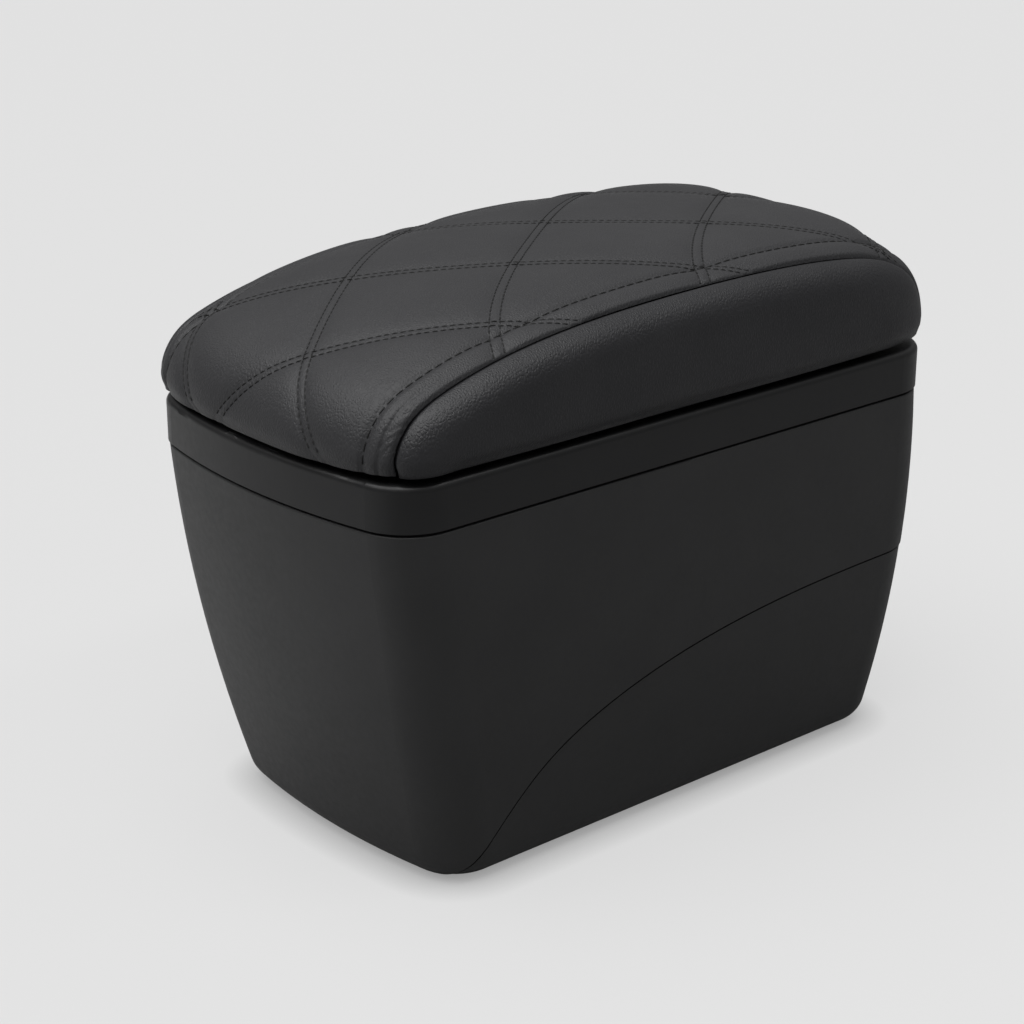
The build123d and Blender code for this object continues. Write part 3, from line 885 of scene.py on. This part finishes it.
@dataclass
class Stitching:
    """Thread of the quilting and of the topstitch, one stitch repeated along every row.

    Attributes:
        cover: The strip that is sewn.
        quilt: Stitch of the quilting.
        edge: Stitch of the topstitch.
        margin: Free length at the strip's ends.
        seam_gap: Free width beside the seams.
        path_step: Distance between the points of a route.
        bow_steps: Pieces along one stitch.
        ring_points: Points round the thread.
    """

    cover: TopCover
    quilt: Stitch = Stitch(3.0 * MM, 2.0 * MM, 0.29 * MM, 0.36 * MM)
    edge: Stitch = Stitch(4.7 * MM, 3.3 * MM, 0.31 * MM, 0.38 * MM)
    margin: float = 4 * MM
    seam_gap: float = 1.8 * MM
    path_step: float = 1.5 * MM
    bow_steps: int = 5
    ring_points: int = 6

    def quilt_paths(self) -> list[tuple[np.ndarray, np.ndarray]]:
        """Routes of the quilting's threads over the strip.

        Returns:
            For each thread, its points and the strip's normals there.
        """
        quilting = self.cover.quilting
        edge = self.cover.arch.half - self.seam_gap
        across = np.arange(-edge, edge, self.path_step)
        routes = []
        for family in quilting.families:
            for row in range(family.first, family.last + 1):
                for offset in (-quilting.row_half, quilting.row_half):
                    routes.append(list(zip(across, family.along(row, across, offset))))
        return [self._lift(route) for route in routes]

    def edge_paths(self) -> list[tuple[np.ndarray, np.ndarray]]:
        """Routes of the topstitch on both edges.

        Returns:
            For each row, its points and the strip's normals there.
        """
        routes = []
        for side in Side:
            x = side.value * self.cover.quilting.topstitch_x
            length = self.cover.arch.run(x)[1][-1]
            lengths = np.arange(self.margin, length - self.margin, self.path_step)
            routes.append([(x, along) for along in lengths])
        return [self._lift(route) for route in routes]

    def _lift(self, route: list[tuple[float, float]]) -> tuple[np.ndarray, np.ndarray]:
        """Lays a route of widths and lengths on the strip.

        Args:
            route: Width and length of each point.

        Returns:
            The points and normals of the part that lies on the strip.
        """
        points, normals = [], []
        for x, along in route:
            end = self.cover.lengths(x)[-1]
            if self.margin < along < end - self.margin:
                point, normal = self.cover.surface(x, np.array([along]))
                points.append(point[0])
                normals.append(normal[0])
        return np.array(points).reshape(-1, 3), np.array(normals).reshape(-1, 3)

    def tree(self) -> bpy.types.GeometryNodeTree:
        """Node tree that sets stitches along the rows.

        Returns:
            The tree, with its sizes as named inputs.
        """
        tree = bpy.data.node_groups.new("stitch_rows", "GeometryNodeTree")
        face = tree.interface
        face.new_socket("Rows", in_out="INPUT", socket_type="NodeSocketGeometry")
        for name in ("Stitch Pitch", "Stitch Length", "Thread Radius", "Stitch Rise"):
            face.new_socket(name, in_out="INPUT", socket_type="NodeSocketFloat")
        face.new_socket("Thread", in_out="INPUT", socket_type="NodeSocketMaterial")
        face.new_socket("Stitches", in_out="OUTPUT", socket_type="NodeSocketGeometry")
        sheet = NodeSheet(tree)
        source = sheet.add("NodeGroupInput")
        result = sheet.add("NodeGroupOutput")
        curve = sheet.add("GeometryNodeMeshToCurve")
        spots = sheet.add("GeometryNodeCurveToPoints", mode="LENGTH")
        upright = sheet.add("GeometryNodeInputNamedAttribute", data_type="FLOAT_VECTOR")
        upright.inputs["Name"].default_value = NORMAL_NAME
        turn = sheet.add("FunctionNodeAxesToRotation", primary_axis="X", secondary_axis="Z")
        place = sheet.add("GeometryNodeInstanceOnPoints")
        real = sheet.add("GeometryNodeRealizeInstances")
        paint = sheet.add("GeometryNodeSetMaterial")
        stitch = self._stitch_nodes(sheet, source)
        sheet.link(source.outputs["Rows"], curve.inputs["Mesh"])
        sheet.link(curve.outputs["Curve"], spots.inputs["Curve"])
        sheet.link(source.outputs["Stitch Pitch"], spots.inputs["Length"])
        sheet.link(spots.outputs["Tangent"], turn.inputs["Primary Axis"])
        sheet.link(upright.outputs["Attribute"], turn.inputs["Secondary Axis"])
        sheet.link(spots.outputs["Points"], place.inputs["Points"])
        sheet.link(stitch, place.inputs["Instance"])
        sheet.link(turn.outputs["Rotation"], place.inputs["Rotation"])
        sheet.link(place.outputs["Instances"], real.inputs["Geometry"])
        sheet.link(real.outputs["Geometry"], paint.inputs["Geometry"])
        sheet.link(source.outputs["Thread"], paint.inputs["Material"])
        sheet.link(paint.outputs["Geometry"], result.inputs["Stitches"])
        return tree

    def _stitch_nodes(self, sheet: NodeSheet, source: bpy.types.Node) -> bpy.types.NodeSocket:
        """One bowed stitch along X.

        Args:
            sheet: The tree's sheet.
            source: The group's input node.

        Returns:
            The socket that carries the stitch's mesh.
        """
        crest = sheet.add("ShaderNodeCombineXYZ")
        bow = sheet.add("GeometryNodeCurveQuadraticBezier")
        bow.inputs["Resolution"].default_value = self.bow_steps
        ring = sheet.add("GeometryNodeCurvePrimitiveCircle")
        ring.inputs["Resolution"].default_value = self.ring_points
        thread = sheet.add("GeometryNodeCurveToMesh")
        thread.inputs["Fill Caps"].default_value = True
        soft = sheet.add("GeometryNodeSetShadeSmooth")
        for end, share in (("Start", -0.5), ("End", 0.5)):
            part = sheet.add("ShaderNodeMath", operation="MULTIPLY")
            part.inputs[1].default_value = share
            spot = sheet.add("ShaderNodeCombineXYZ")
            sheet.link(source.outputs["Stitch Length"], part.inputs[0])
            sheet.link(part.outputs[0], spot.inputs["X"])
            sheet.link(spot.outputs[0], bow.inputs[end])
        sheet.link(source.outputs["Stitch Rise"], crest.inputs["Z"])
        sheet.link(crest.outputs[0], bow.inputs["Middle"])
        sheet.link(source.outputs["Thread Radius"], ring.inputs["Radius"])
        sheet.link(bow.outputs["Curve"], thread.inputs["Curve"])
        sheet.link(ring.outputs["Curve"], thread.inputs["Profile Curve"])
        sheet.link(thread.outputs["Mesh"], soft.inputs["Geometry"])
        return soft.outputs["Geometry"]

    def sew(self, name: str, paths: list[tuple[np.ndarray, np.ndarray]], stitch: Stitch,
            tree: bpy.types.GeometryNodeTree) -> bpy.types.Object:
        """Sews some rows.

        Args:
            name: Name of the piece.
            paths: Points and normals of each row.
            stitch: Size of the stitch.
            tree: The node tree that sets the stitches.

        Returns:
            The thread as one plain mesh, riding on the lid.
        """
        points: list[list[float]] = []
        normals: list[list[float]] = []
        edges: list[tuple[int, int]] = []
        for route, upright in paths:
            first = len(points)
            points.extend(route.tolist())
            normals.extend(upright.tolist())
            edges.extend((first + k, first + k + 1) for k in range(len(route) - 1))
        mesh = bpy.data.meshes.new(name + "_routes")
        mesh.from_pydata(points, edges, [])
        store = mesh.attributes.new(NORMAL_NAME, "FLOAT_VECTOR", "POINT")
        store.data.foreach_set("vector", np.array(normals).ravel())
        routes = bpy.data.objects.new(name + "_routes", mesh)
        bpy.context.scene.collection.objects.link(routes)
        modifier = routes.modifiers.new("stitches", "NODES")
        modifier.node_group = tree
        sizes = {"Stitch Pitch": stitch.pitch, "Stitch Length": stitch.length,
                 "Thread Radius": stitch.radius, "Stitch Rise": stitch.rise, "Thread": THREAD.build()}
        for item in tree.interface.items_tree:
            if item.name in sizes:
                modifier[item.identifier] = sizes[item.name]
        bpy.context.view_layer.update()
        done = routes.evaluated_get(bpy.context.evaluated_depsgraph_get())
        plain = bpy.data.meshes.new_from_object(done)
        bpy.data.objects.remove(routes)
        piece = bpy.data.objects.new(name, plain)
        bpy.context.scene.collection.objects.link(piece)
        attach(piece, "lid")
        return piece

    def build(self) -> list[bpy.types.Object]:
        """Sews all the rows.

        Returns:
            The quilting's thread and the topstitch.
        """
        tree = self.tree()
        return [self.sew("quilting_thread", self.quilt_paths(), self.quilt, tree),
                self.sew("topstitch_thread", self.edge_paths(), self.edge, tree)]


@dataclass
class Console:
    """Moulded box and the lid's stiff pieces, kept from the frame with their own finishes.

    Attributes:
        finishes: Finish of each kept piece, by its name in the frame.
    """

    finishes: dict[str, Finish] = field(default_factory=lambda: dict(NODE_FINISHES))

    def dress(self) -> int:
        """Gives every kept piece its finish.

        Returns:
            The number of pieces dressed.
        """
        for name, finish in self.finishes.items():
            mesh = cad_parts[name].data
            mesh.materials.clear()
            mesh.materials.append(finish.build())
        return len(self.finishes)


@dataclass
class Studio:
    """Pale floor, soft lamps and the camera at the photograph's angle.

    Attributes:
        azimuth: Turn of the camera round the object, in degrees.
        elevation: Height of the camera's line above the horizon, in degrees.
        distance: Distance of the camera from the pivot.
        pivot: Point that the angles turn about.
        shift: Sideways and upward step of the camera from its line to the pivot.
        lens: Focal length, in millimetres.
        sensor: Width of the camera's sensor, in millimetres.
        floor_tone: Brightness of the floor as seen, linear.
        bounce_left: Brightness of the floor's left for the light it throws back.
        bounce_right: The same on the right, where the floor is kept dark.
        bounce_span: Places between which the one turns into the other.
        bounce_slant: How much of a place is counted along Y.
        floor_glow: Share of the floor's brightness that the lamps' shadows don't reach.
        painted_shadow_depth: How much of that share is lost right under the object, as a painted contact
            shadow.
        painted_shadow_reach: Distance from the object over which the painted shadow fades and the glow
            comes back.
        floor_size: Side of the floor.
        air_low: Strength of the room's light at the horizon.
        air_high: Strength of the room's light overhead.
        sky_light: Strength of the soft lamp.
        sky_spread: Angle that the soft lamp fills, in degrees.
        sky_from: Direction of the soft lamp.
        strip_watts: Strength of the narrow lamp that lights the edges.
        strip_size: Length and width of that lamp.
        strip_from: Place of that lamp.
    """

    azimuth: float = 49.36
    elevation: float = 20.46
    distance: float = 990 * MM
    pivot: tuple[float, float, float] = (0, 0, 110 * MM)
    shift: tuple[float, float] = (-16.43 * MM, -0.875 * MM)
    lens: float = 83.307
    sensor: float = 36.0
    floor_tone: float = 0.745
    bounce_left: float = 0.46
    bounce_right: float = 0.23
    bounce_span: tuple[float, float] = (-0.25, 0.15)
    bounce_slant: float = 0.4
    floor_glow: float = 0.8
    painted_shadow_depth: float = 0.55
    painted_shadow_reach: float = 15 * MM
    floor_size: float = 12.0
    air_low: float = 0.11
    air_high: float = 0.5
    sky_light: float = 2.3
    sky_spread: float = 65.0
    sky_from: tuple[float, float, float] = (-0.1, -0.36, 1.0)
    strip_watts: float = 2.8
    strip_size: tuple[float, float] = (1.3, 0.13)
    strip_from: tuple[float, float, float] = (0.55, 0.0, 1.1)

    def build(self) -> None:
        """Sets up the floor, the world, the lamps and the camera."""
        self._floor()
        self._world()
        self._sky()
        self._strip_lamp()
        self._camera()
        bpy.context.scene.view_settings.view_transform = "Standard"

    def _floor(self) -> None:
        """Lays the pale floor: nearly even to the camera, with a painted contact shadow near the object,
        and darker for the light it throws back.
        """
        half = self.floor_size / 2
        corners = np.array([(-half, -half, 0), (half, -half, 0), (half, half, 0), (-half, half, 0)])
        tone = (self.floor_tone,) * 3
        material = bpy.data.materials.new("pale_floor")
        material.use_nodes = True
        floor = new_mesh_object("studio_floor", corners, [(0, 1, 2, 3)], material)
        sheet = NodeSheet(material.node_tree)
        output = sheet.add("ShaderNodeOutputMaterial")
        path = sheet.add("ShaderNodeLightPath")
        seen = sheet.add("ShaderNodeBsdfDiffuse")
        seen.inputs["Color"].default_value = (*tone, 1)
        glow = sheet.add("ShaderNodeEmission")
        glow.inputs["Color"].default_value = (*tone, 1)
        # Painted contact shadow: ambient occlusion dims the floor's glow near the object, where the
        # object shades it.
        near = sheet.add("ShaderNodeAmbientOcclusion")
        near.inputs["Distance"].default_value = self.painted_shadow_reach
        shade = sheet.add("ShaderNodeMapRange")
        shade.inputs["To Min"].default_value = 1 - self.painted_shadow_depth
        sheet.link(near.outputs["AO"], shade.inputs["Value"])
        sheet.link(shade.outputs["Result"], glow.inputs["Strength"])
        dull = sheet.add("ShaderNodeBsdfDiffuse")
        sheet.link(self._bounce(sheet), dull.inputs["Color"])
        even = sheet.add("ShaderNodeMixShader")
        even.inputs["Fac"].default_value = self.floor_glow
        split = sheet.add("ShaderNodeMixShader")
        sheet.link(seen.outputs["BSDF"], even.inputs[1])
        sheet.link(glow.outputs["Emission"], even.inputs[2])
        sheet.link(path.outputs["Is Camera Ray"], split.inputs["Fac"])
        sheet.link(dull.outputs["BSDF"], split.inputs[1])
        sheet.link(even.outputs["Shader"], split.inputs[2])
        sheet.link(split.outputs["Shader"], output.inputs["Surface"])

    def _bounce(self, sheet: NodeSheet) -> bpy.types.NodeSocket:
        """Brightness of the floor for the light it throws back, from left to right.

        Args:
            sheet: The floor material's sheet.

        Returns:
            The socket with the brightness.
        """
        place = sheet.add("ShaderNodeTexCoord")
        parts = sheet.add("ShaderNodeSeparateXYZ")
        across = sheet.add("ShaderNodeMath", operation="MULTIPLY_ADD")
        across.inputs[1].default_value = self.bounce_slant
        span = sheet.add("ShaderNodeMapRange", interpolation_type="SMOOTHSTEP")
        span.inputs["From Min"].default_value = self.bounce_span[0]
        span.inputs["From Max"].default_value = self.bounce_span[1]
        span.inputs["To Min"].default_value = self.bounce_left
        span.inputs["To Max"].default_value = self.bounce_right
        sheet.link(place.outputs["Object"], parts.inputs["Vector"])
        sheet.link(parts.outputs["Y"], across.inputs[0])
        sheet.link(parts.outputs["X"], across.inputs[2])
        sheet.link(across.outputs["Value"], span.inputs["Value"])
        return span.outputs["Result"]

    def _world(self) -> None:
        """Fills the room with light that grows from the horizon upwards, before a pale backdrop."""
        world = bpy.data.worlds.new("studio_air")
        world.use_nodes = True
        sheet = NodeSheet(world.node_tree)
        output = sheet.add("ShaderNodeOutputWorld")
        glow = sheet.add("ShaderNodeBackground")
        glow.inputs["Color"].default_value = (1, 1, 1, 1)
        place = sheet.add("ShaderNodeTexCoord")
        parts = sheet.add("ShaderNodeSeparateXYZ")
        span = sheet.add("ShaderNodeMapRange")
        span.inputs["To Min"].default_value = self.air_low
        span.inputs["To Max"].default_value = self.air_high
        sheet.link(place.outputs["Generated"], parts.inputs["Vector"])
        sheet.link(parts.outputs["Z"], span.inputs["Value"])
        sheet.link(span.outputs["Result"], glow.inputs["Strength"])
        backdrop = sheet.add("ShaderNodeBackground")
        backdrop.inputs["Color"].default_value = (*(self.floor_tone,) * 3, 1)
        path = sheet.add("ShaderNodeLightPath")
        split = sheet.add("ShaderNodeMixShader")
        sheet.link(path.outputs["Is Camera Ray"], split.inputs["Fac"])
        sheet.link(glow.outputs["Background"], split.inputs[1])
        sheet.link(backdrop.outputs["Background"], split.inputs[2])
        sheet.link(split.outputs["Shader"], output.inputs["Surface"])
        bpy.context.scene.world = world

    def _sky(self) -> None:
        """Hangs one very wide soft lamp above and in front."""
        light = bpy.data.lights.new("soft_sky", "SUN")
        light.energy = self.sky_light
        light.angle = math.radians(self.sky_spread)
        self._hang(light, Vector(self.sky_from), Vector(self.sky_from))

    def _strip_lamp(self) -> None:
        """Hangs a narrow lamp above the right side, which draws the edges."""
        light = bpy.data.lights.new("edge_lamp", "AREA")
        light.shape = "RECTANGLE"
        light.size, light.size_y = self.strip_size
        light.energy = self.strip_watts
        place = Vector(self.strip_from)
        self._hang(light, place, place - Vector(self.pivot))

    def _hang(self, light: bpy.types.Light, place: Vector, back: Vector) -> None:
        """Hangs a lamp.

        Args:
            light: The lamp's light.
            place: Where the lamp hangs.
            back: Direction from which it shines.
        """
        lamp = bpy.data.objects.new(light.name, light)
        lamp.location = place
        lamp.rotation_euler = back.to_track_quat("Z", "Y").to_euler()
        bpy.context.scene.collection.objects.link(lamp)

    def _camera(self) -> None:
        """Places the camera as the photograph was taken."""
        a, e = math.radians(self.azimuth), math.radians(self.elevation)
        right = Vector((math.cos(a), math.sin(a), 0))
        back = Vector((math.sin(a) * math.cos(e), -math.cos(a) * math.cos(e), math.sin(e)))
        up = back.cross(right)
        data = bpy.data.cameras.new("photo_camera")
        data.lens = self.lens
        data.sensor_width = self.sensor
        camera = bpy.data.objects.new("photo_camera", data)
        place = Vector(self.pivot) + back * self.distance + right * self.shift[0] + up * self.shift[1]
        turn = Matrix((right, up, back)).transposed().to_4x4()
        camera.matrix_world = Matrix.Translation(place) @ turn
        bpy.context.scene.collection.objects.link(camera)
        bpy.context.scene.camera = camera


def main() -> None:
    """Builds the armrest's pieces in order and reports each."""
    logging.basicConfig(level=logging.INFO, format="%(message)s")
    count = Console().dress()
    LOG.info("dressed %d moulded and metal pieces", count)
    arch = LidArch()
    cover = TopCover(arch, Quilting())
    pieces = [cover.build()]
    pieces += [SidePanel(arch, side).build() for side in Side]
    pieces += Stitching(cover).build()
    for piece in pieces:
        LOG.info("%s: %d faces", piece.name, len(piece.data.polygons))
    Studio().build()


if __name__ == "__main__":
    main()
